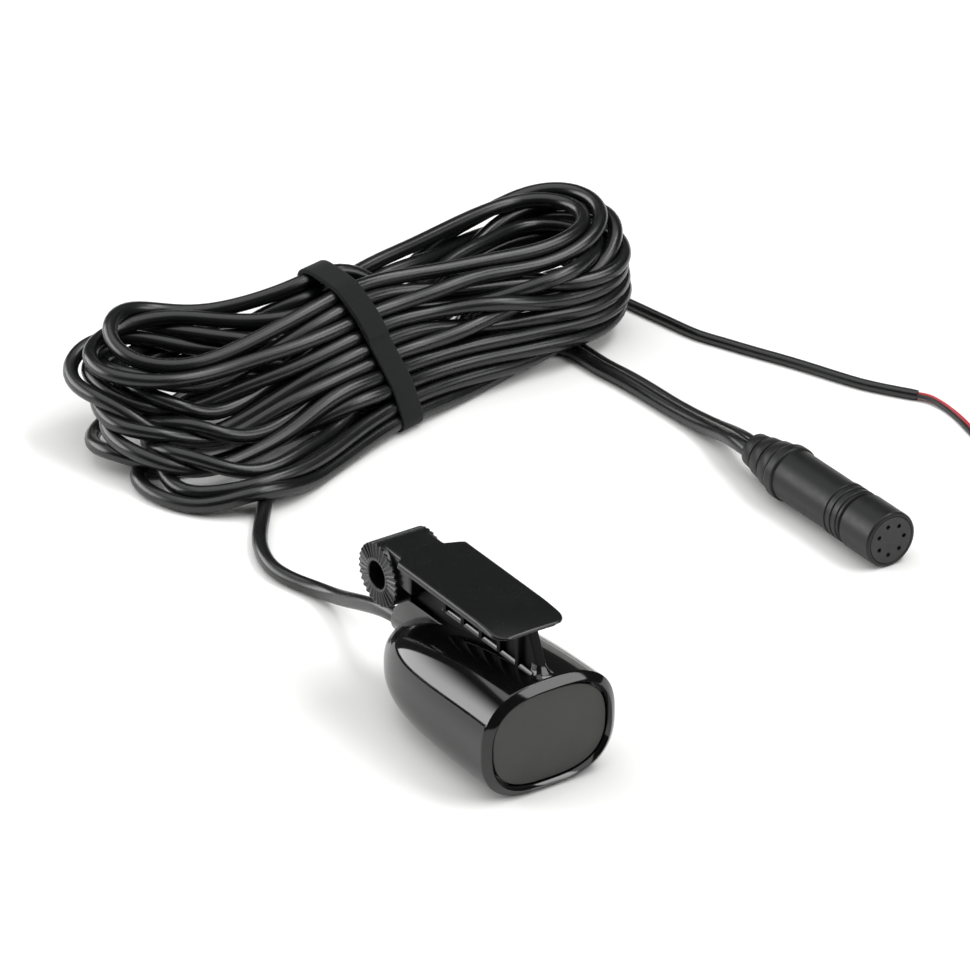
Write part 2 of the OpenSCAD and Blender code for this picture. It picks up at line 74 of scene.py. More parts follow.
# Web, ribs and ledge under the plate, and the flared foot of the web's rear pylon
WEB_W, RIB_W, RIB_T, RIB_FIRST, RIB_PITCH, RIB_COUNT = 4.0, 8.0, 2.4, 3.7, 11.4, 5
BAND_Z, BAND_T = 44.0, 1.4
PYLON_FOOT, FOOT_FLARE, FOOT_H, FOOT_HALF_L = 4.6, 3.0, 4.2, 2.6
# Hub: axis, radius, bore and reach to both sides; its bosses and serrations; the block behind it; and the
# radii at which the web and the block end in its wall
HUB_Y, HUB_Z, HUB_R, BORE_R, HUB_LEFT, HUB_RIGHT = 90.5, 47.2, 12.1, 5.3, 12.0, 7.5
BOSS_LONG, BOSS_SHORT, TEETH, TOOTH = 2.0, 1.2, 30, 0.65
SHOULDER_BACK, BLOCK_TOP = 15.0, 59.2
WEB_END_R, BLOCK_END_R = 9.5, 9.0
# Cable fairing, how deep it and the web reach into the pod's top, and the cable's exit
FAIRING_W, FAIRING_Z, FAIRING_BACK, SUNK = 8.4, 37.0, 37.0, 1.5
EXIT_Y, EXIT_Z, EXIT_SLOPE, COLLAR_R, GROMMET_R = 96.3, 22.5, np.radians(8), 4.6, 3.7

# Cords: diameters, and the routes of the part's source
CABLE_D, POWER_D, WIRE_D = 6.0, 4.2, 1.7
LEAD = [[0, 45, 22.5], [0, 55, 21.09], [1, 66, 17.5], [2, 77, 13.5], [3.5, 88, 9], [4.5, 98, 5.5],
        [4, 108, 3.5], [1, 118, 3], [-1, 129, 3], [1, 140, 3], [6, 151.5, 3], [12.5, 161, 3], [19.3, 170, 3]]
TAIL = [[191.5, 209.8, 3], [191.8, 198, 3], [193.5, 186, 3], [194.5, 172, 3], [195, 158, 3],
        [195.5, 144, 3.5], [195.5, 130, 5], [194.3, 118, 7.7], [192, 107, 10.5], [191, 101, 11.2],
        [191, 95, 11.2]]
POWER_TAIL = [[196.8, 210.4, 2.1], [197, 199, 2.1], [198.8, 186, 2.1], [199.8, 172, 2.1], [200.3, 158, 2.1],
              [200.8, 144, 2.8], [200.8, 130, 4.6], [199.6, 118, 7.5], [197.6, 107, 10.4], [196.7, 101, 11.2],
              [196.7, 95, 11.2]]
POWER = [[233.9, 241.5, 2.1], [236.5, 227, 2.1], [239, 213, 2.1], [241.5, 200, 2.1], [246.5, 188, 2.1],
         [251.5, 176, 2.1], [256.5, 165, 2.1], [261.5, 153, 2.1], [266, 141, 2.1], [271, 129, 2.1],
         [277, 119, 2.1], [283, 110, 2.1]]
RED = [[283.75, 110.5, 2.1], [286.25, 106.75, 2.1], [287.8, 100, 1.3], [287.8, 93, 0.85], [286.8, 86, 0.85],
       [285.2, 79, 0.85], [283.6, 72, 0.85], [282.2, 66, 0.85], [281.2, 61, 0.85]]
BLACK = [[282.25, 109.5, 2.1], [284.75, 105.75, 2.1], [286, 99.5, 1.3], [285.9, 93, 0.85],
         [284.9, 86.3, 0.85], [283.3, 79.5, 0.85], [281.7, 72.5, 0.85], [280.3, 66.5, 0.85],
         [279.3, 61.5, 0.85]]
# The cable's way from its lead into the hank and from the hank to its tail, and its last strand in the strap
HANK_IN = [[27, 180, 3], [48, 192, 3.4]]
HANK_OUT = [[150, 226, 4], [170, 231, 3.2], [184, 225, 3]]
LAST_STRAND = 2, 9.6
# The power lead's loop under the hank's right end: its middle and radius, and the point that leads into it
LOOP_X, LOOP_Y, LOOP_R = 215.3, 242.0, 18.6
LOOP_IN = [196.6, 226, POWER_D / 2]
# Spacing of the points along guide lines, and along the finished cable, power lead and wires; sides of each
GUIDE_STEP, CABLE_STEP, POWER_STEP, WIRE_STEP = 2.0, 3.0, 2.5, 1.5
CABLE_SIDES, POWER_SIDES, WIRE_SIDES = 16, 14, 12

# Strap round the hank: its place, heading, width and thickness; its end's height on the near side, how much
# of its thickness that end adds, and the fall behind the top over which this fades; spacing of its points
STRAP_AT = np.array([94.0, 243.0])
STRAP_TURN = np.radians(13)
STRAP_W, STRAP_T = 11.0, 1.2
STRAP_END_Z, STRAP_OVER, STRAP_FADE, STRAP_STEP = 34.5, 0.8, 10.0, 0.9

# Hank: ALONG is the strands' heading in the strap, UPFACE runs up the sloping front, and FOOT is its lowest
# strand.
ALONG = np.array([np.cos(STRAP_TURN), np.sin(STRAP_TURN), 0.0])
UPFACE = np.array([-0.1375, 0.6266, 0.767])
OUTWARD = np.cross(ALONG, UPFACE)
FOOT = np.array([105.0, 201.0, 4.6])
# Pitch of strands up the front and of layers behind it; how far the front bows, over how many strands; how
# far each layer lies up the slope and is raised; how far a strand runs straight on both sides of the strap
STRAND_PITCH, LAYER_PITCH, FACE_BOW, FACE_COUNT = 6.0, 5.4, 3.0, 10
LAYER_UP, LAYER_RISE, STRAIGHT = 2.2, 1.0, 10.0
# One row for each turn: layer and place of its back strand and of its front strand in the strap; the right
# tip (x, y, z), its radius, and how far its front and back arms lie above it; the same for the left tip.
TURNS = [
    (2, 0, 0, 0, (183, 236, 3.2), 22, 0, 0, (-6, 204, 3.2), 28, 0, 0),
    (2, 1, 0, 1, (222, 241, 10), 25, -2, 0, (0, 208, 9), 30, -4, 4),
    (2, 2, 0, 2, (226, 238, 14), 24, -3, 0, (-10, 238.5, 5), 23.5, -2, 3),
    (1, 1, 1, 1.8, (211, 240, 13), 22, -2, 2, (4, 216, 14), 28, -6, 4),
    (2, 3, 0, 3, (227, 237, 19.5), 24, -4, 0, (-9, 230, 17), 28, -8, 8),
    (2, 4, 0, 5, (227, 238, 25.5), 24.5, -4, 0, (-9, 247, 25), 24, -12, 6),
    (2, 5, 0, 4, (226, 242, 43.5), 24, -9, -4, (-6, 242, 22), 27, -10, 8),
    (2, 6, 0, 6, (226, 238, 31.5), 25, -4, 0, (-2, 250, 29), 22, -9, 2),
    (1, 6, 1, 6.5, (217, 239, 37), 24.5, -2, 0, (4, 247, 27), 24.5, -9, 3),
    (2, 7, 0, 7, (222, 247, 49), 24, -6, -5, (-4, 251, 36), 21, -3, -4),
    (2, 8, 0, 8, (225, 239, 37.5), 25, -6, -1, (2, 251, 31), 21, -5, -2),
    (1, 3.4, 1, 4.2, (216, 238, 22.5), 22.5, -1, 0, (6, 234, 20), 26, -6, 2),
    (2, 9, 0, 9, (213, 245, 47.5), 20.8, -3, -2, (6, 252, 37), 20.5, -1, -3),
]
# Settling of the hank: spacing of its points, rounds, least radius of a bend, and how many points of lead and
# tail stay where they are
STEP, ROUNDS, LEAST_BEND = 4.0, 170, 19.6
LEAD_HELD, TAIL_HELD = 37, 29
# Stretch of a strand that doesn't push itself, rounds between two searches for near points, gap that still
# counts as near, and last rounds over which the pushes fade
OWN_STRETCH, SEARCH_EVERY, NEAR_GAP, FADE_ROUNDS = 24.0, 12, 5.0, 40
# Strength of a push, of the pull back to the guide line and the share of the rounds it lasts; of the easing
# of a bend and of its wide average, which is taken off again
PUSH, PULL, PULL_SHARE, EASE, EASE_BACK = 1.6, 0.02, 0.7, 0.8, 1.9
# Passes that spread freedom next to fixed points, a push, an easing and its wide average
FREE_PASSES, PUSH_PASSES, EASE_PASSES, WIDE_PASSES = 8, 10, 2, 24
# The strap under the hank: air above it, and where and over what length the lift that it gives ends
LIFT_AIR, LIFT_END, LIFT_RUN = 0.2, 34.0, 20.0

# Connector: rear end of its boot; lengths and radii of boot, body, flange, front sleeve, groove and insert
CONNECTOR = np.array([193.5, 95.0, 11.2])
BOOT_L, BODY_L, FLANGE_R, FLANGE_L, BODY_R, FRONT_R = 20.0, 65.5, 11.2, 5.0, 10.4, 11.1
GROOVE_AT, GROOVE_W, INSERT_R, INSERT_L = 66.5, 1.5, 9.3, 12.0
# Boot: its bands, the first one's radius, how much each next one grows, and the core between them; hollow of
# the body; how far before the groove each step ring begins
BOOT_BANDS, BOOT_R, BOOT_GROWS, BOOT_CORE = 3, 6.8, 1.35, 6.5
HOLLOW_R, RINGS_BEFORE = 4.0, (10.7, 7.3, 3.9)

# Stage, in metres: the floor's size; the card's size and place; each softbox's name, width, depth, power (W)
# and place, and the point that they face
FLOOR_SIZE = 24
CARD_W, CARD_H, CARD_AT = 1.6, 0.42, (1.25, 1.45, 0.22)
SOFTBOXES = [
    ("wide_softbox", 3.2, 3.2, 50, (-0.1, 0.35, 2.3)),
    ("strip_softbox", 1.8, 0.6, 20, (1.1, -0.35, 2.2)),
    ("front_softbox", 1.3, 1.3, 22, (1.15, -1.45, 1.35)),
]
LIGHT_AIM = (0.1, 0.1, 0)
# Lit screen: height, width, lower edge, light and place; the height on it up to which its light is full; and
# the stretch over which the light falls towards the right, to what share
SCREEN_H, SCREEN_W, SCREEN_LOW, SCREEN_LIGHT = 1.8, 2.4, 0.19, 6.0
SCREEN_X, SCREEN_Y, SCREEN_FULL = -1.3, 1.75, -0.4
DIM_FROM, DIM_TO, DIM_SHARE = -0.2, 1.1, 0.75
# Grey of the studio all round
STUDIO_GREY = 0.06


# Colours and nodes

def linear(code):
    """An sRGB colour code such as "1b1c1d" as a linear RGBA value."""
    c = np.array([int(code[i:i + 2], 16) for i in (0, 2, 4)]) / 255
    c = np.where(c <= 0.04045, c / 12.92, ((c + 0.055) / 1.055) ** 2.4)
    return (*c.tolist(), 1.0)


def add(tree, kind, inputs=(), **settings):
    """Adds one node. Settings are its own properties; inputs are values, or sockets to link from."""
    node = tree.nodes.new(kind)
    for name, value in settings.items():
        setattr(node, name, value)
    for name, value in dict(inputs).items():
        if isinstance(value, bpy.types.NodeSocket):
            tree.links.new(value, node.inputs[name])
        else:
            node.inputs[name].default_value = value
    return node


def moulded(name, dark, light, cloud, rough, grain, depth, space="Object", stretch=(1, 1, 1), **shader):
    """The skin of a plastic, rubber, resin, metal or tape.

    A cloud of the given size in mm mixes the two colours and moves the roughness between its two values;
    a grain of the given size in mm lifts the surface by depth in mm. Stretch squeezes both along an axis.
    """
    material = bpy.data.materials.new(name)
    material.use_nodes = True
    tree = material.node_tree
    tree.nodes.clear()
    place = add(tree, "ShaderNodeTexCoord")
    turned = add(tree, "ShaderNodeMapping", {"Vector": place.outputs[space], "Scale": stretch})
    clouds = add(tree, "ShaderNodeTexNoise",
                 {"Vector": turned.outputs[0], "Scale": 1 / (cloud * MM), "Detail": 5.0, "Roughness": 0.6})
    colour = add(tree, "ShaderNodeMix",
                 {"Factor": clouds.outputs["Fac"], 6: linear(dark), 7: linear(light)}, data_type="RGBA")
    dull = add(tree, "ShaderNodeMapRange", {"Value": clouds.outputs["Fac"], "From Min": 0.3, "From Max": 0.7,
                                            "To Min": rough[0], "To Max": rough[1]})
    fine = add(tree, "ShaderNodeTexNoise",
               {"Vector": turned.outputs[0], "Scale": 1 / (grain * MM), "Detail": 3.0, "Roughness": 0.5})
    bump = add(tree, "ShaderNodeBump",
               {"Height": fine.outputs["Fac"], "Distance": depth * MM, "Strength": 1.0})
    shade = add(tree, "ShaderNodeBsdfPrincipled",
                {"Base Color": colour.outputs[2], "Roughness": dull.outputs[0], "Normal": bump.outputs[0],
                 **shader})
    add(tree, "ShaderNodeOutputMaterial", {"Surface": shade.outputs[0]})
    return material


# Polished black ABS: the tool's mirror finish shows as sharp reflections, only faintly dulled in places.
ABS_POLISHED = moulded("abs_polished_black", "090909", "0d0d0e", 14, (0.06, 0.11), 2.2, 0.003, IOR=1.53)
# The same ABS off a finely blasted tool: the arm's flat top scatters light and looks very dark.
ABS_SATIN = moulded("abs_satin_black", "0c0d0d", "0f1010", 9, (0.25, 0.28), 0.5, 0.006, IOR=1.53,
                    **{"Specular IOR Level": 0.38})
# Black ABS off a plain milled tool: the ledge, the pylon's foot and the fairing have a soft shine.
ABS_PLAIN = moulded("abs_plain_black", "0a0a0b", "101111", 8, (0.12, 0.2), 0.9, 0.006, IOR=1.53)
# Web and ribs: the same ABS, rougher off the tool's deep cores, with its reflection turned low as painted
# shade, so that it looks as dark as the shade under the plate.
ABS_CORE_PAINTED_SHADE = moulded("abs_core_painted_shade", "080808", "0c0c0d", 7, (0.42, 0.55), 0.6, 0.01, IOR=1.53,
                   **{"Specular IOR Level": 0.12})
# Rear plate: ABS with a fine even spark-eroded grain, which greys it.
ABS_GRAINED = moulded("abs_grained_grey", "31322f", "373835", 6, (0.5, 0.62), 0.35, 0.03, IOR=1.53)
# Cable jacket: extruded black PVC, satin, with faint marks drawn out along its length.
PVC_JACKET = moulded("pvc_jacket_black", "0b0c0c", "131414", 3, (0.22, 0.34), 1.1, 0.015, space="UV",
                     stretch=(0.12, 1, 1), IOR=1.52)
# Power lead: a smoother, slightly softer PVC, a little duller than the cable's.
PVC_LEAD = moulded("pvc_lead_black", "0a0b0b", "111212", 3, (0.24, 0.36), 0.9, 0.015, space="UV",
                   stretch=(0.12, 1, 1), IOR=1.52)
# Wires: thin PVC drawn smooth and dyed through, with a soft even shine.
PVC_RED = moulded("pvc_wire_red", "a82a33", "bd3540", 2, (0.35, 0.48), 0.6, 0.01, space="UV",
                  stretch=(0.15, 1, 1), IOR=1.52)
PVC_DARK = moulded("pvc_wire_black", "1a1718", "262223", 2, (0.35, 0.48), 0.6, 0.01, space="UV",
                   stretch=(0.15, 1, 1), IOR=1.52)
# Connector shell: glass-filled nylon, satin with a slight mottle.
NYLON_SHELL = moulded("nylon_shell_black", "0e0f0f", "151616", 3, (0.36, 0.46), 0.4, 0.02, IOR=1.53,
                      **{"Specular IOR Level": 0.3})
# Boot and grommet: moulded rubber, dull.
RUBBER = moulded("rubber_black", "0d0d0d", "141415", 4, (0.4, 0.52), 0.5, 0.02, IOR=1.52,
                 **{"Specular IOR Level": 0.3})
# Sealing ring: rubber painted near black as painted shade of its groove, so that the ring reads as a dark
# groove; nearly without shine.
RING_PAINTED_SHADE = moulded("ring_rubber_painted_shade", "040404", "080808", 2, (0.6, 0.72), 0.4, 0.02, IOR=1.52,
                      **{"Specular IOR Level": 0.08})
# Socket insert: dull glass-filled plastic.
INSERT = moulded("insert_dull_black", "1c1c1d", "272728", 2, (0.55, 0.68), 0.3, 0.02, IOR=1.55)
# Potting: cast resin behind the cover, dark, a little cloudy and half dull.
POTTING = moulded("potting_resin", "2a2724", "33302b", 5, (0.4, 0.6), 1.5, 0.03, IOR=1.56)
# Element: fired ceramic without a glaze, pale, chalky and nearly without shine.
CERAMIC = moulded("fired_ceramic", "cfc8bb", "ddd6c9", 2, (0.6, 0.75), 0.2, 0.01, IOR=1.6)
# Backing: cut cork, whose light and dark cells show as specks, quite dull.
CORK = moulded("cut_cork", "6b4f31", "b99766", 1.6, (0.8, 0.92), 0.8, 0.15, IOR=1.4)
# Sensor: a bead dipped in green resin, smooth, with the shine of a thick coat.
BEAD = moulded("dipped_bead_green", "33492f", "456241", 1.5, (0.2, 0.35), 1.0, 0.02, IOR=1.55)
# Sensor wires: the same PVC as the other wires, pale grey.
WIRE_GREY = moulded("pvc_wire_grey", "bdbdb6", "cbcbc4", 2, (0.35, 0.5), 0.6, 0.01, IOR=1.52)
# Contacts: dull brass, its colour darkened as painted shade of the holes that they sit in.
BRASS_PAINTED_SHADE = moulded("plated_brass_painted_shade", "3d3322", "51452d", 0.8, (0.35, 0.5), 0.2, 0.003, Metallic=1.0)
# Wire ends: copper strands under tin, a pale metal whose unevenness breaks up its shine.
TINNED = moulded("tinned_copper", "b5b2aa", "d0cdc6", 0.5, (0.25, 0.4), 0.25, 0.02, Metallic=1.0)
# Strap: woven polyester tape, dull, its threads about 0.9 mm apart, drawn wider than real so that they show.
TAPE = moulded("woven_tape_black", "131514", "1e201f", 1.4, (0.7, 0.85), 0.9, 0.08, space="UV",
               stretch=(1, 0.35, 1), IOR=1.45,
               **{"Specular IOR Level": 0.2, "Sheen Weight": 0.08, "Sheen Roughness": 0.5})


# Meshes

def piece(name, points, faces, material, uv, sharp):
    """A closed skin of the given points (mm) and faces, turned outwards, riding on the part.

    UV holds each point's place on the surface in mm, or None. Edges over sharp degrees stay sharp.
    """
    mesh = bpy.data.meshes.new(name)
    mesh.from_pydata((np.asarray(points) * MM).tolist(), [], faces)
    if uv is not None:
        layer = mesh.uv_layers.new(name="UVMap")
        corner = np.empty(len(mesh.loops), np.int64)
        mesh.loops.foreach_get("vertex_index", corner)
        layer.data.foreach_set("uv", (np.asarray(uv) * MM)[corner].astype(np.float32).ravel())
    work = bmesh.new()
    work.from_mesh(mesh)
    bmesh.ops.recalc_face_normals(work, faces=work.faces)
    work.to_mesh(mesh)
    work.free()
    mesh.polygons.foreach_set("use_smooth", np.ones(len(mesh.polygons), bool))
    mesh.set_sharp_from_angle(angle=np.radians(sharp))
    mesh.materials.append(material)
    made = bpy.data.objects.new(name, mesh)
    bpy.context.scene.collection.objects.link(made)
    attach(made, "root")
    return made


def quads(rows, cols, ring):
    """Faces of a grid of rows by cols points, closed round each row, and from last row to first if ring."""
    r = np.arange(rows if ring else rows - 1)[:, None]
    c = np.arange(cols)[None]
    r2, c2 = (r + 1) % rows, (c + 1) % cols
    return np.stack([r * cols + c, r * cols + c2, r2 * cols + c2, r2 * cols + c], -1).reshape(-1, 4).tolist()


def skin(name, grid, material, ring=False, uv=None, sharp=40):
    """A closed skin over a grid of rows: each row is a closed loop, and the two end rows are filled."""
    rows, cols = grid.shape[:2]
    faces = quads(rows, cols, ring)
    if not ring:
        faces += [list(range(cols)), list(range((rows - 1) * cols, rows * cols))]
    return piece(name, grid.reshape(-1, 3), faces, material,
                 None if uv is None else np.asarray(uv).reshape(-1, 2), sharp)


def rounded(outline, radius, steps):
    """An outline with each corner turned into a parabola of so many points.

    It starts radius (mm) before the corner, or 0.45 of an edge that is too short for that.
    """
    p = np.asarray(outline, float)
    before, after = np.roll(p, 1, 0) - p, np.roll(p, -1, 0) - p
    cut = [np.minimum(radius, 0.45 * np.linalg.norm(v, axis=1))[:, None] * v
           / np.linalg.norm(v, axis=1)[:, None] for v in (before, after)]
    t = np.linspace(0, 1, steps)[None, :, None]
    return (p[:, None] + (1 - t) ** 2 * cut[0][:, None] + t ** 2 * cut[1][:, None]).reshape(-1, 2)


def inset(outline, by):
    """An outline moved inwards by a distance, each point along the mean of its two edges' normals."""
    area = np.sum(outline[:, 0] * np.roll(outline[:, 1], -1) - np.roll(outline[:, 0], -1) * outline[:, 1])
    edge = np.roll(outline, -1, 0) - outline
    edge /= np.maximum(np.linalg.norm(edge, axis=1), 1e-9)[:, None]
    normal = np.stack([-edge[:, 1], edge[:, 0]], -1) * np.sign(area)
    mean = normal + np.roll(normal, 1, 0)
    mean /= np.maximum((mean * mean).sum(1), 0.5)[:, None] / 2
    return outline + by * mean


def slab(name, outline, low, high, edge, axis, material):
    """A plate of the housing between low and high on an axis, in the outline's shape.

    The edges of its two faces are quarter circles of radius edge.
    """
    a = np.linspace(0, np.pi / 2, 5)
    rows = [(low + edge * (1 - np.sin(v)), edge * (1 - np.cos(v))) for v in a[::-1]]
    rows += [(high - edge * (1 - np.sin(v)), edge * (1 - np.cos(v))) for v in a]
    grid = [np.insert(inset(outline, by), axis, level, 1) for level, by in rows]
    skin(name, np.array(grid), material)


def lathe(name, profile, origin, axis, material, sides=96, sharp=40):
    """A profile of (radius, distance) turned about an axis from an origin.

    A profile that ends where it began, away from the axis, makes a ring. Any other has both ends closed.
    """
    axis = np.asarray(axis, float) / np.linalg.norm(axis)
    side = np.cross(axis, [0.0, 0.0, 1.0])
    side /= np.linalg.norm(side)
    other = np.cross(axis, side)
    a = np.linspace(0, 2 * np.pi, sides, endpoint=False)
    circle = np.cos(a)[:, None] * side + np.sin(a)[:, None] * other
    p = np.asarray(profile, float)
    grid = np.asarray(origin, float) + p[:, :1, None] * circle[None] + p[:, 1:, None] * axis
    ring = bool(p[0, 0] > 1 and np.allclose(p[0], p[-1]))
    return skin(name, grid, material, ring=ring, sharp=sharp)


# Cords

def curve(points, step):
    """Smooth line through points: a centripetal Catmull-Rom spline, sampled about every step mm."""
    p = np.asarray(points, float)
    p = np.vstack([2 * p[0] - p[1], p, 2 * p[-1] - p[-2]])
    t = np.concatenate([[0], np.cumsum(np.linalg.norm(np.diff(p, axis=0), axis=1) ** 0.5)])
    parts = []
    for i in range(1, len(p) - 2):
        count = max(2, int(np.ceil(np.linalg.norm(p[i + 1] - p[i]) / step)))
        s = np.linspace(t[i], t[i + 1], count, endpoint=False)[:, None]

        def mix(a, b, ta, tb):
            """The straight mix of two points at s between their knots."""
            return ((tb - s) * a + (s - ta) * b) / (tb - ta)
        one = [mix(p[i + k], p[i + k + 1], t[i + k], t[i + k + 1]) for k in (-1, 0, 1)]
        two = [mix(one[k], one[k + 1], t[i + k - 1], t[i + k + 1]) for k in (0, 1)]
        parts.append(mix(two[0], two[1], t[i], t[i + 1]))
    return np.vstack(parts + [p[-2:-1]])


def even(line, step):
    """The same line with points an even step apart."""
    run = np.concatenate([[0], np.cumsum(np.linalg.norm(np.diff(line, axis=0), axis=1))])
    s = np.linspace(0, run[-1], int(round(run[-1] / step)) + 1)
    return np.stack([np.interp(s, run, line[:, k]) for k in range(3)], -1)


def spread(v, passes):
    """Averages each value with its two neighbours, passes times, so that a push bends a strand gently."""
    for _ in range(passes):
        v = np.concatenate([v[:1], 0.25 * v[:-2] + 0.5 * v[1:-1] + 0.25 * v[2:], v[-1:]])
    return v


def strand_in_strap(layer, place):
    """Centre of a strand in the strap: so many strands up the sloping face, so many layers behind it.

    Layer 0 bows outwards by half a sine wave, layer 1 is straight, and layer 2 bows the other way.
    """
    bow = FACE_BOW * np.sin(np.pi * place / FACE_COUNT) * (1 - layer)
    return (FOOT + (place * STRAND_PITCH + LAYER_UP * layer) * UPFACE
            + (bow - LAYER_PITCH * layer) * OUTWARD + np.array([0, 0, LAYER_RISE * layer]))


def end_loop(tip, radius, front, behind, side):
    """Half a circle round one end of the hank, from its back arm to its front arm, five points.

    The arms lie behind and front (mm) above the tip, and the points between them 0.4 of that.
    """
    a = np.radians([90, 45, 0, -45, -90])
    rise = np.array([behind, 0.4 * behind, 0, 0.4 * front, front])
    x = tip[0] - side * radius * (1 - np.cos(a))
    return np.stack([x, tip[1] + radius * np.sin(a), tip[2] + rise], -1)


def hank_guides():
    """Guide points of the cable from its lead to its tail.

    Each turn is a back strand, the right loop, a front strand and the left loop.
    """
    guide = [*LEAD, *HANK_IN]
    for back_layer, back, front_layer, front, right, rr, rf, rb, left, lr, lf, lb in TURNS:
        b, f = strand_in_strap(back_layer, back), strand_in_strap(front_layer, front)
        guide += [b - STRAIGHT * ALONG, b + STRAIGHT * ALONG, *end_loop(right, rr, rf, rb, 1)]
        guide += [f + STRAIGHT * ALONG, f - STRAIGHT * ALONG, *end_loop(left, lr, lf, lb, -1)[::-1]]
    last = strand_in_strap(*LAST_STRAND)
    guide += [last - STRAIGHT * ALONG, last + STRAIGHT * ALONG, *HANK_OUT]
    return np.vstack([guide, TAIL])


def settle(lines, diameters, fixed):
    """Lets cords lie beside each other.

    Points of strands closer than their two radii are pushed apart, the push is spread along the strand, and
    a short filter takes the kinks out. Where a bend is under the least radius, its points move towards the
    middle of their neighbours, less the wide average of such moves, so that a tight loop opens and isn't
    drawn in. Nothing goes below the floor or the strap. The pushes fade at the end, so that the bends settle.
    Fixed points stay.
    """
    p = np.vstack(lines)
    n = len(p)
    radius = np.concatenate([np.full(len(q), d / 2) for q, d in zip(lines, diameters)])
    cord = np.concatenate([np.full(len(q), k) for k, q in enumerate(lines)])
    fixed = np.concatenate(fixed)
    start = np.concatenate([[0], np.cumsum([len(q) for q in lines])])
    row = np.arange(n)
    near = (np.abs(row[:, None] - row) * STEP < OWN_STRETCH) & (cord[:, None] == cord)
    free = np.where(fixed, 0, spread((~fixed).astype(float), FREE_PASSES))[:, None]
    target = p.copy()
    for turn in range(ROUNDS):
        if turn % SEARCH_EVERY == 0:
            size = (p * p).sum(1)
            close = size[:, None] + size - 2 * p @ p.T < (CABLE_D + NEAR_GAP) ** 2
            i, j = np.nonzero(close & ~near)
        gap = p[i] - p[j]
        far = np.sqrt(np.maximum((gap * gap).sum(1), 1e-6))
        deep = np.maximum(radius[i] + radius[j] - far, 0)
        deep *= min(1.0, (ROUNDS - turn) / FADE_ROUNDS)
        push = gap / far[:, None] * (0.5 * deep)[:, None]
        hits = np.maximum(np.bincount(i, deep > 0, n), 1)
        move = np.stack([np.bincount(i, push[:, k], n) for k in range(3)], -1) / hits[:, None]
        pull = PULL * max(0.0, 1 - turn / (PULL_SHARE * ROUNDS))
        p = p + free * (PUSH * spread(move, PUSH_PASSES) + pull * (target - p))
        soft = p.copy()
        soft[2:-2] = (10 * p[2:-2] + 4 * (p[1:-3] + p[3:-1]) - p[:-4] - p[4:]) / 16
        for a, b in zip(start[:-1], start[1:]):
            p[a + 3:b - 3] = np.where(fixed[a + 3:b - 3, None], p[a + 3:b - 3], soft[a + 3:b - 3])
        for _ in range(3):
            sag = np.zeros_like(p)
            sag[1:-1] = 0.5 * (p[:-2] + p[2:]) - p[1:-1]
            depth = np.maximum(np.linalg.norm(sag, axis=1), 1e-6)
            span = np.full(n, STEP)
            span[1:-1] = np.linalg.norm(p[2:] - p[:-2], axis=1) / 2
            tight = np.maximum(depth - span ** 2 / (2 * LEAST_BEND), 0)
            ease = spread((EASE * tight / depth)[:, None] * sag, EASE_PASSES)
            p = p + free * (ease - EASE_BACK * spread(ease, WIDE_PASSES))
        off = np.abs((p[:, :2] - STRAP_AT) @ ALONG[:2])
        lift = np.where(cord == 0, (STRAP_T + LIFT_AIR) * np.clip((LIFT_END - off) / LIFT_RUN, 0, 1), 0)
        p[:, 2] = np.where(fixed, p[:, 2], np.maximum(p[:, 2], radius + lift))
    return [p[a:b] for a, b in zip(start[:-1], start[1:])]


def tube(name, line, diameter, sides, material):
    """A round cord: rings square to the line, their radius a 24th of the diameter less at its two ends."""
    line = np.asarray(line, float)
    ahead = np.gradient(line, axis=0)
    ahead /= np.linalg.norm(ahead, axis=1)[:, None]
    side = np.cross(ahead, [0.0, 0.0, 1.0])
    side /= np.linalg.norm(side, axis=1)[:, None]
    over = np.cross(side, ahead)
    a = np.linspace(0, 2 * np.pi, sides, endpoint=False)
    around = np.cos(a)[None, :, None] * side[:, None] + np.sin(a)[None, :, None] * over[:, None]
    run = np.concatenate([[0], np.cumsum(np.linalg.norm(np.diff(line, axis=0), axis=1))])
    size = np.full(len(line), diameter / 2)
    size[[0, -1]] -= diameter / 24
    uv = np.stack(np.broadcast_arrays(run[:, None], a[None] * diameter / 2), -1)
    return skin(name, line[:, None] + size[:, None, None] * around, material, uv=uv, sharp=60)


def finer(line, step):
    """A settled line sampled evenly and averaged along itself, so that its rings turn smoothly."""
    return spread(even(curve(line, step), step), 3)


# Camera

def place_camera():
    """The photograph's camera: its right, up and back axes from azimuth and height, at the fitted eye."""
    sa, ca, se, ce = np.sin(VIEW_AZIMUTH), np.cos(VIEW_AZIMUTH), np.sin(VIEW_HEIGHT), np.cos(VIEW_HEIGHT)
    back = np.array([sa * ce, -ca * ce, se])
    right = np.array([ca, sa, 0.0])
    turn = np.eye(4)
    turn[:3, :3] = np.stack([right, np.cross(back, right), back], 1)
    turn[:3, 3] = EYE * MM
    data = bpy.data.cameras.new("camera")
    data.sensor_width = SENSOR
    data.lens = SENSOR * FOCAL
    data.clip_start, data.clip_end = SEES_FROM, SEES_TO
    made = bpy.data.objects.new("camera", data)
    made.matrix_world = Matrix(turn.tolist())
    bpy.context.scene.collection.objects.link(made)
    bpy.context.scene.camera = made


place_camera()


# Cords as they lie, made before the rest

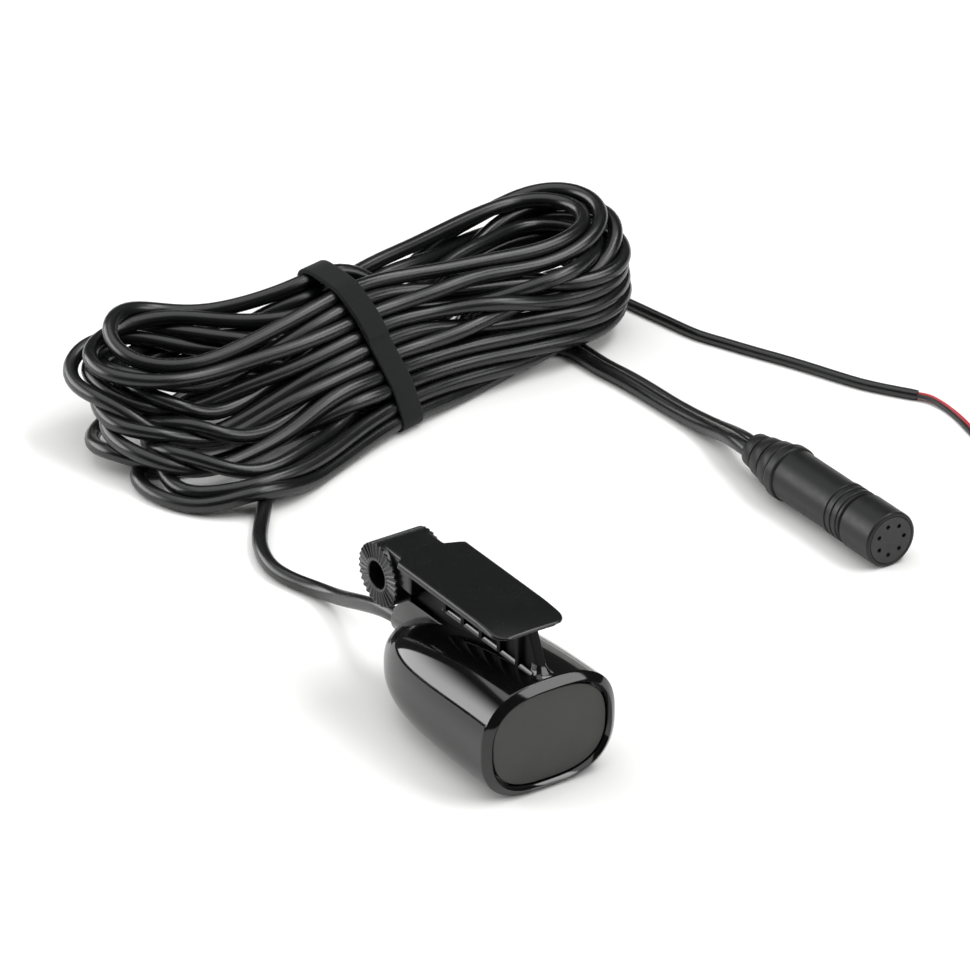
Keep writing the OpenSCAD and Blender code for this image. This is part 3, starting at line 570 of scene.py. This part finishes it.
cable = even(curve(hank_guides(), GUIDE_STEP), STEP)
turn = np.radians([180, 150, 120, 90, 60, 30])
loop = np.stack([LOOP_X + LOOP_R * np.cos(turn), LOOP_Y + LOOP_R * np.sin(turn),
                 np.full(len(turn), POWER_D / 2)], -1)
power = even(curve([*POWER_TAIL[::-1], LOOP_IN, *loop, *POWER], GUIDE_STEP), STEP)
cable_fixed = np.zeros(len(cable), bool)
cable_fixed[:LEAD_HELD] = cable_fixed[-TAIL_HELD:] = True
power_fixed = np.ones(len(power), bool)
cable, power = settle([cable, power], [CABLE_D, POWER_D], [cable_fixed, power_fixed])
cable, power = finer(cable, CABLE_STEP), finer(power, POWER_STEP)
red, black = finer(RED, WIRE_STEP), finer(BLACK, WIRE_STEP)

cable_piece = tube("transducer_cable", cable, CABLE_D, CABLE_SIDES, PVC_JACKET)
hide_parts("cable_lead", "cable_hank", "cable_tail")
power_piece = tube("power_cord", power, POWER_D, POWER_SIDES, PVC_LEAD)
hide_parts("power_tail", "power_lead")
red_piece = tube("red_lead", red, WIRE_D, WIRE_SIDES, PVC_RED)
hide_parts("red_wire")
black_piece = tube("black_lead", black, WIRE_D, WIRE_SIDES, PVC_DARK)
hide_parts("black_wire")


# Pod

def closing(y, power, root):
    """How far the nose has closed at y: one less the share of its length to a power, to a root."""
    return np.maximum(0, 1 - (y / POD_L) ** power) ** (1 / root)


def middle_z(y):
    """Height of the line from the middle of the rear face, falling by the square to the nose tip."""
    return AXIS_Z - NOSE_DROP * (y / POD_L) ** 2


def top_z(y):
    """Height of the pod's top at y from its rear face: the middle line, and the rest as the nose closes."""
    return middle_z(y) + (POD_H - middle_z(y)) * closing(y, *CLOSE_UP)


def pod_rows(y, by, floor=0.0):
    """Superellipse sections of the pod at y, set in by a distance, cut flat at the belly."""
    y, by = np.broadcast_arrays(np.asarray(y, float), np.asarray(by, float))
    y, by = y[:, None], by[:, None]
    a = np.linspace(0, 2 * np.pi, POD_SIDES, endpoint=False)[None]
    c, s = np.cos(a), np.sin(a)
    c, s = np.sign(c) * np.abs(c) ** (2 / SQUARE_X), np.sign(s) * np.abs(s) ** (2 / SQUARE_Z)
    mid = middle_z(y)
    up = (POD_H - by - mid) * closing(y, *CLOSE_UP)
    down = (mid + BELLY_CUT - by) * closing(y, *CLOSE_DOWN)
    x = (HALF_W - by) * closing(y, *CLOSE_SIDE) * c
    z = np.maximum(floor, mid + np.where(s > 0, up, down) * s)
    return np.stack([x, np.broadcast_to(y, x.shape) + REAR_Y, z], -1)


def make_pod():
    """Pod shell: sections from the seat's floor over its lip and the rim's bevel, along the body to the nose.

    Lip and bevel are quarter superellipses of a low power, which makes them nearly flat with soft edges.
    """
    a = np.radians(np.linspace(0, 90, 9))
    crest = SEAT_INSET - LIP
    seat = [(SEAT_DEPTH, SEAT_INSET + SEAT_LEDGE), (SEAT_DEPTH, SEAT_INSET), (LIP_L + 0.2, SEAT_INSET)]
    lip = [(LIP_L * (1 - np.sin(v) ** FLATNESS), SEAT_INSET - LIP * (1 - np.cos(v) ** FLATNESS)) for v in a]
    rim = [(RIM_L * (1 - np.cos(v) ** FLATNESS), crest * (1 - np.sin(v) ** FLATNESS)) for v in a[1:]]
    nose = np.radians(np.concatenate([np.linspace(2, 80, 90), np.linspace(81, 89.2, 30)]))
    body = [(POD_L * np.sin(v), 0.0) for v in nose]
    rows = np.array(seat + lip + rim + body)
    made = skin("pod_shell", pod_rows(rows[:, 0], rows[:, 1]), ABS_POLISHED)
    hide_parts("housing")


def make_cover():
    """Rear cover: the pod's section set in by the seat and its gap, a sunk plate with a small round edge."""
    by = SEAT_INSET + COVER_GAP
    a = np.radians(np.linspace(90, 0, 6))
    rows = [(SEAT_DEPTH, by)]
    rows += [(COVER_SINK + COVER_EDGE * (1 - np.cos(v)), by + COVER_EDGE * (1 - np.sin(v))) for v in a]
    rows = np.array(rows)
    grid = pod_rows(rows[:, 0], rows[:, 1], floor=by - BELLY_CUT)
    made = skin("cover_plate", grid, ABS_GRAINED)
    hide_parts("rear_cover")


make_pod()
make_cover()


# Arm

def at_rear(outline):
    """Moves an outline of (y from the rear face, z) into the part's frame."""
    return np.asarray(outline, float) + [REAR_Y, 0]


def make_plate():
    """Arm plate: a section with squared round sides carried along y.

    Its width follows the round rear corners and, by a smooth step, the shoulder in front. Its top is
    narrower than its underside, crowned by the square of the distance from its middle, and falls by a square
    at the rear.
    """
    w, r = PLATE_W / 2, PLATE_EDGE
    front = HUB_Y - SHOULDER_BACK
    end = np.radians(np.linspace(90, 0, 9))
    along = np.linspace(PLATE_REAR + r + 0.4, front + 4, 70)
    y = np.concatenate([PLATE_REAR + r * (1 - np.sin(end)), along])
    thin = np.concatenate([r * (1 - np.cos(end)), np.zeros_like(along)])
    corner = np.clip((PLATE_REAR + PLATE_CORNER - y) / PLATE_CORNER, 0, 1)
    shoulder = np.clip((y - front) / SHOULDER_L, 0, 1)
    shoulder = shoulder * shoulder * (3 - 2 * shoulder)
    half = w - PLATE_CORNER * (1 - np.sqrt(np.maximum(0, 1 - corner ** 2)))
    left, right = half - (w - HUB_LEFT + 0.3) * shoulder, half - (w - HUB_RIGHT + 0.3) * shoulder
    t = np.linspace(0, 1, 16)
    arc = np.radians(np.linspace(90, -90, 13))
    side = np.abs(np.cos(arc)) ** ROUND_POWER
    rise = np.sign(arc) * np.abs(np.sin(arc)) ** ROUND_POWER
    u = np.concatenate([-1 + 2 * t, np.ones_like(arc), 1 - 2 * t, -np.ones_like(arc)])
    out = np.concatenate([np.zeros_like(t), side, np.zeros_like(t), -side])
    lift = np.concatenate([np.ones_like(t), rise, -np.ones_like(t), -rise])[None]
    x = np.where(u < 0, u[None] * (left - r)[:, None], u[None] * (right - r)[:, None]) + out[None] * r
    x = x * (1 - PLATE_TAPER * (1 + lift))
    behind = np.clip((PLATE_REAR + FALL_L - y) / FALL_L, 0, 1)[:, None]
    fall = FALL * behind ** 2 + PLATE_CROWN * behind ** 2 * (x / w) ** 2
    crown = PLATE_CROWN * (x / w) ** 2
    thick = (PLATE_T / 2 - thin)[:, None]
    z = PLATE_Z - PLATE_T / 2 + lift * thick - (fall + crown) * (1 + lift) / 2
    grid = np.stack([x, np.broadcast_to(y[:, None], x.shape) + REAR_Y, z], -1)
    skin("arm_plate", grid, ABS_SATIN)


def make_web():
    """Web, ledge and ribs under the plate: slabs with eased edges, the web curved round the hub's wall."""
    under = PLATE_Z - PLATE_T
    hub = np.radians(np.linspace(180, 262, 9))
    around = np.stack([HUB_Y + WEB_END_R * np.cos(hub), HUB_Z + WEB_END_R * np.sin(hub)], -1)
    y = np.linspace(HUB_Y - 13, PYLON_FOOT, 16)
    sunk = np.stack([y, top_z(y) - SUNK], -1)
    web = np.vstack([[[PLATE_REAR + 0.5, under + 0.4], [HUB_Y - WEB_END_R, under + 1]], around,
                     [[HUB_Y - 2, FAIRING_Z - 1.5]], sunk])
    # Web and ribs take the ABS whose reflection is turned low as painted shade.
    slab("arm_web", at_rear(web), -WEB_W / 2, WEB_W / 2, 0.5, 0, ABS_CORE_PAINTED_SHADE)
    w, low = RIB_W / 2, BAND_Z - BAND_T
    ledge = [[-w, low], [w, low], [w, BAND_Z - 0.9], [w - 0.7, BAND_Z], [0.7 - w, BAND_Z],
             [-w, BAND_Z - 0.9]]
    last = PLATE_REAR + RIB_FIRST + (RIB_COUNT - 1) * RIB_PITCH + RIB_T
    slab("arm_ledge", np.array(ledge), REAR_Y + PLATE_REAR - 4, REAR_Y + last + 0.4, 0.1, 1, ABS_PLAIN)
    for i in range(RIB_COUNT):
        y0 = PLATE_REAR + RIB_FIRST + i * RIB_PITCH
        y1 = y0 + RIB_T
        rib = rounded([[y0, low - 0.2], [y0, under + 1], [y1, under + 1], [y1, low - 0.2]], 0.3, 3)
        slab(f"arm_rib_{i}", at_rear(rib), -w - 0.05, w + 0.05, 0.35, 0, ABS_CORE_PAINTED_SHADE)


def make_pylon_foot():
    """Flare where the web's rear pylon stands on the pod: its plan grows downwards by a quarter circle."""
    z = np.linspace(0, 1, 9)
    flare = FOOT_FLARE * (1 - np.sqrt(np.maximum(0, 1 - (1 - z) ** 2)))
    a = np.linspace(0, 2 * np.pi, 48, endpoint=False)
    c, q = np.cos(a), np.sin(a)
    c, q = np.sign(c) * np.abs(c) ** ROUND_POWER, np.sign(q) * np.abs(q) ** ROUND_POWER
    x = (WEB_W / 2 + 0.1 + flare)[:, None] * c
    lean = (PLATE_REAR + 0.5 - PYLON_FOOT) * FOOT_H / (PLATE_Z - POD_H) * z
    y = REAR_Y + PYLON_FOOT + 2.5 + lean[:, None] + (FOOT_HALF_L + 0.8 * flare)[:, None] * q
    level = np.broadcast_to(POD_H - 0.5 + FOOT_H * z[:, None], x.shape)
    skin("pylon_foot", np.stack([x, y, level], -1), ABS_PLAIN)


def make_hub():
    """Pivot hub: a ring round the bore whose two faces carry radial serrations, deepest at the rim.

    A row of a face is its radius, how far it lies behind the face, and its share of the serrations' depth.
    """
    a = np.linspace(0, 2 * np.pi, TEETH * 10, endpoint=False)
    wave = 0.5 + 0.5 * np.cos(a * TEETH)
    left, right = -HUB_LEFT - BOSS_LONG, HUB_RIGHT + BOSS_SHORT
    plain = BORE_R + 0.9
    face = [(BORE_R, 0.4, 0), (BORE_R + 0.2, 0.1, 0), (plain, 0, 0.3)]
    face += [(r, 0, 1) for r in np.linspace(plain + 0.3, HUB_R - 0.35, 6)]
    face += [(HUB_R, 0.35, 1), (HUB_R, 1.5, 0)]
    rows = []
    for at, way, profile in ((left, 1, face), (right, -1, face[::-1])):
        for r, back, cut in profile:
            x = at + way * (back + cut * TOOTH * r / HUB_R * wave)
            rows.append(np.stack([x, HUB_Y + REAR_Y + r * np.cos(a), HUB_Z + r * np.sin(a)], -1))
    skin("pivot_hub", np.array(rows), ABS_SATIN, ring=True, sharp=30)
    ring = np.radians(np.linspace(90, 180, 10))
    inner = np.stack([HUB_Y + BLOCK_END_R * np.cos(ring), HUB_Z + BLOCK_END_R * np.sin(ring)], -1)
    back = HUB_Y - SHOULDER_BACK - 4
    block = np.vstack([[[back, HUB_Z], [back, BLOCK_TOP], [HUB_Y - 1.0, BLOCK_TOP]], inner])
    slab("hub_block", at_rear(block), -HUB_LEFT, HUB_RIGHT, 1.1, 0, ABS_SATIN)


def make_fairing():
    """Cable fairing between nose and arm: a slab with rounded edges, and a collar round the cable's exit."""
    front = EXIT_Y - 0.8
    start = HUB_Y - FAIRING_BACK
    y = np.linspace(POD_L - 4, start, 14)
    outline = np.vstack([[[start, FAIRING_Z], [HUB_Y - 3, FAIRING_Z], [front, EXIT_Z + COLLAR_R + 1],
                          [front, EXIT_Z], [POD_L - 1.5, AXIS_Z]], np.stack([y, top_z(y) - SUNK], -1)])
    slab("cable_fairing", at_rear(outline), -FAIRING_W / 2, FAIRING_W / 2, 0.8, 0, ABS_PLAIN)
    ahead = np.array([0, np.cos(EXIT_SLOPE), -np.sin(EXIT_SLOPE)])
    r, e = COLLAR_R, 0.5
    profile = [(GROMMET_R, -5), (r, -12), (r, -e), (r - 0.15, -0.15), (r - e, 0), (GROMMET_R, 0),
               (GROMMET_R, -5)]
    lathe("exit_collar", profile, [0, EXIT_Y + REAR_Y, EXIT_Z], ahead, ABS_PLAIN, 64)


make_plate()
make_web()
make_pylon_foot()
make_hub()
make_fairing()


# Strap

def make_strap():
    """Strap: the tight outline round the strands where it lies, from the farthest strand in each direction.

    Its end lies over it from a height on the near side up to the top, and the lift fades behind.
    """
    across = np.array([-ALONG[1], ALONG[0]])
    off = (cable[:, :2] - STRAP_AT) @ ALONG[:2]
    held = cable[np.abs(off) < STRAP_W / 2 + 1]
    flat = np.stack([(held[:, :2] - STRAP_AT) @ across, held[:, 2]], -1)
    a = np.linspace(0, 2 * np.pi, 360, endpoint=False)
    way = np.stack([np.cos(a), np.sin(a)], -1)
    loop = flat[np.argmax(flat @ way.T, 0)] + (CABLE_D / 2 + STRAP_T / 2 + 0.05) * way
    loop = even(np.insert(np.vstack([loop, loop[:1]]), 2, 0, 1), STRAP_STEP)[:-1, :2]
    for _ in range(6):
        loop = 0.25 * np.roll(loop, 1, 0) + 0.5 * loop + 0.25 * np.roll(loop, -1, 0)
    loop[:, 1] = np.maximum(loop[:, 1], STRAP_T / 2)
    edge = np.roll(loop, -1, 0) - np.roll(loop, 1, 0)
    edge /= np.linalg.norm(edge, axis=1)[:, None]
    normal = np.stack([edge[:, 1], -edge[:, 0]], -1)
    w, t = STRAP_W / 2, STRAP_T / 2
    section = rounded([[-w, -t], [w, -t], [w, t], [-w, t]], 0.5, 4)
    top = np.argmax(loop[:, 1])
    behind = 1 + (loop[:, 1] - loop[top, 1]) / STRAP_FADE
    over = np.where(loop[:, 0] < loop[top, 0], loop[:, 1] > STRAP_END_Z, behind).clip(0, 1)
    thick = section[None, :, 1] + STRAP_OVER * STRAP_T * over[:, None] * (section[None, :, 1] > 0)
    flat = loop[:, None] + thick[..., None] * normal[:, None]
    plan = STRAP_AT + flat[..., :1] * across + section[None, :, :1] * ALONG[:2]
    grid = np.concatenate([plan, flat[..., 1:]], -1)
    run = np.arange(len(loop)) * STRAP_STEP
    uv = np.stack(np.broadcast_arrays(run[:, None], section[None, :, 0] + section[None, :, 1]), -1)
    made = skin("hank_strap", grid, TAPE, ring=True, uv=uv)
    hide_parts("hank_tie")


make_strap()


# Connector

def make_connector():
    """Connector: the boot's bands, and the shell with its flange, three step rings, groove and front sleeve.

    Both are profiles of (radius, distance from the boot's rear end), with eased edges, turned about its axis.
    """
    boot = [(0.0, 0.0)]
    band = BOOT_L / BOOT_BANDS
    for i in range(BOOT_BANDS):
        r, s = BOOT_R + BOOT_GROWS * i, i * band
        boot += [(r - 0.4, s), (r, s + 0.4), (r + 0.55, s + band - 1.6), (r + 0.45, s + band - 1.1),
                 (r + 0.1, s + band - 0.9), (BOOT_CORE, s + band - 0.9), (BOOT_CORE, s + band)]
    boot += [(0.0, BOOT_L)]
    made = lathe("strain_boot", boot, CONNECTOR, (0, -1, 0), RUBBER)
    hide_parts("connector_boot")
    front = BOOT_L + BODY_L
    body = [(INSERT_R, front - INSERT_L), (HOLLOW_R, front - INSERT_L - 1), (HOLLOW_R, BOOT_L + 0.5),
            (FLANGE_R - 0.9, BOOT_L), (FLANGE_R - 0.25, BOOT_L + 0.25), (FLANGE_R, BOOT_L + 0.9),
            (FLANGE_R, BOOT_L + FLANGE_L - 0.9), (FLANGE_R - 0.25, BOOT_L + FLANGE_L - 0.25),
            (FLANGE_R - 0.8, BOOT_L + FLANGE_L), (BODY_R, BOOT_L + FLANGE_L + 0.4)]
    for before in RINGS_BEFORE:
        ring = GROOVE_AT - before
        body += [(BODY_R, ring), (BODY_R + 0.25, ring + 0.1), (BODY_R + 0.4, ring + 0.35),
                 (BODY_R + 0.4, ring + 1.9), (BODY_R + 0.25, ring + 2.15), (BODY_R, ring + 2.25)]
    body += [(BODY_R, GROOVE_AT - 0.4), (BODY_R - 0.3, GROOVE_AT), (INSERT_R + 0.7, GROOVE_AT),
             (INSERT_R + 0.7, GROOVE_AT + GROOVE_W), (FRONT_R - 0.4, GROOVE_AT + GROOVE_W),
             (FRONT_R, GROOVE_AT + GROOVE_W + 0.4), (FRONT_R, front - 0.8), (FRONT_R - 0.25, front - 0.25),
             (FRONT_R - 0.8, front), (INSERT_R + 0.3, front), (INSERT_R + 0.05, front - 0.3),
             (INSERT_R, front - INSERT_L)]
    made = lathe("connector_shell", body, CONNECTOR, (0, -1, 0), NYLON_SHELL, 128, 20)
    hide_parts("connector_body")
    return made


shell_piece = make_connector()

# CAD nodes whose shape is right keep it and get their finish; the seal ring's and the contacts' finishes are
# darkened as painted shade
FINISHES = {
    "resin_block": POTTING, "ceramic_disc": CERAMIC, "cork_backing": CORK, "temperature_sensor": BEAD,
    "element_wire_live": PVC_RED, "element_wire_return": PVC_DARK, "sensor_wires": WIRE_GREY,
    "cable_entry": PVC_JACKET, "cable_grommet": RUBBER, "wire_tips": TINNED,
    "connector_seal_ring": RING_PAINTED_SHADE, "connector_insert": INSERT, "connector_contacts": BRASS_PAINTED_SHADE,
}
for node, finish in FINISHES.items():
    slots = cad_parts[node].material_slots
    if len(slots) == 0:
        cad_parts[node].data.materials.append(finish)
    for used in slots:
        used.material = finish


# Floor and light

def facing(at, aim):
    """A turn and place that sets something at a point, its local +Z towards an aim and local Y upwards."""
    at, aim = np.array(at, float), np.array(aim, float)
    ahead = (aim - at) / np.linalg.norm(aim - at)
    side = np.cross([0.0, 0.0, 1.0], ahead)
    side /= np.linalg.norm(side)
    turn = np.eye(4)
    turn[:3, :3] = np.stack([side, np.cross(ahead, side), ahead], 1)
    turn[:3, 3] = at
    return Matrix(turn.tolist())


def sheet(name, width, height, material, place, seen):
    """A flat sheet of the stage, which isn't part of the object.

    An unseen one hides nothing from a camera behind it.
    """
    mesh = bpy.data.meshes.new(name)
    w, h = width / 2, height / 2
    mesh.from_pydata([(-w, -h, 0), (w, -h, 0), (w, h, 0), (-w, h, 0)], [], [(0, 1, 2, 3)])
    mesh.materials.append(material)
    made = bpy.data.objects.new(name, mesh)
    made.matrix_world = place
    made.visible_camera = seen
    bpy.context.scene.collection.objects.link(made)


def make_papers():
    """A wide white paper floor, and a grey card low behind to the right for the pod's far side to reflect."""
    card = facing(CARD_AT, (0, 0, CARD_AT[2]))
    for name, colour, width, height, place in (("floor", "fbfbfa", FLOOR_SIZE, FLOOR_SIZE, Matrix()),
                                               ("grey_card", "c8c8c6", CARD_W, CARD_H, card)):
        paper = bpy.data.materials.new(name + "_paper")
        paper.use_nodes = True
        tree = paper.node_tree
        tree.nodes.clear()
        shade = add(tree, "ShaderNodeBsdfDiffuse", {"Color": linear(colour)})
        add(tree, "ShaderNodeOutputMaterial", {"Surface": shade.outputs[0]})
        sheet(name, width, height, paper, place, name == "floor")


def make_lights():
    """Softboxes overhead and in front to the right, and a lit screen behind to the left.

    The screen's light falls towards its top and towards its right end.
    """
    for name, width, depth, power, at in SOFTBOXES:
        data = bpy.data.lights.new(name, "AREA")
        data.shape = "RECTANGLE"
        data.size, data.size_y, data.energy = width, depth, power
        lamp = bpy.data.objects.new(name, data)
        lamp.matrix_world = facing(at, LIGHT_AIM) @ Matrix.Rotation(np.pi, 4, "Y")
        lamp.visible_camera = False
        bpy.context.scene.collection.objects.link(lamp)

    glow = bpy.data.materials.new("lit_screen")
    glow.use_nodes = True
    tree = glow.node_tree
    tree.nodes.clear()
    place = add(tree, "ShaderNodeTexCoord")
    parts = add(tree, "ShaderNodeSeparateXYZ", {0: place.outputs["Object"]})
    upwards = add(tree, "ShaderNodeMapRange",
                  {"Value": parts.outputs[1], "From Min": SCREEN_H / 2, "From Max": SCREEN_FULL,
                   "To Min": 0.0, "To Max": SCREEN_LIGHT}, interpolation_type="SMOOTHSTEP")
    rightwards = add(tree, "ShaderNodeMapRange",
                     {"Value": parts.outputs[0], "From Min": DIM_FROM, "From Max": DIM_TO,
                      "To Min": 1.0, "To Max": DIM_SHARE})
    both = add(tree, "ShaderNodeMath", {0: upwards.outputs[0], 1: rightwards.outputs[0]},
               operation="MULTIPLY")
    light = add(tree, "ShaderNodeEmission", {"Strength": both.outputs[0]})
    add(tree, "ShaderNodeOutputMaterial", {"Surface": light.outputs[0]})
    middle = SCREEN_LOW + SCREEN_H / 2
    place = facing((SCREEN_X, SCREEN_Y, middle), (0, 0, middle))
    sheet("lit_screen", SCREEN_W, SCREEN_H, glow, place, False)

    world = bpy.data.worlds.new("studio")
    bpy.context.scene.world = world
    world.use_nodes = True
    tree = world.node_tree
    tree.nodes.clear()
    grey = (STUDIO_GREY, STUDIO_GREY, STUDIO_GREY, 1.0)
    sky = add(tree, "ShaderNodeBackground", {"Color": grey, "Strength": 1.0})
    add(tree, "ShaderNodeOutputWorld", {"Surface": sky.outputs[0]})


make_papers()
make_lights()
bpy.context.scene.view_settings.view_transform = "Standard"
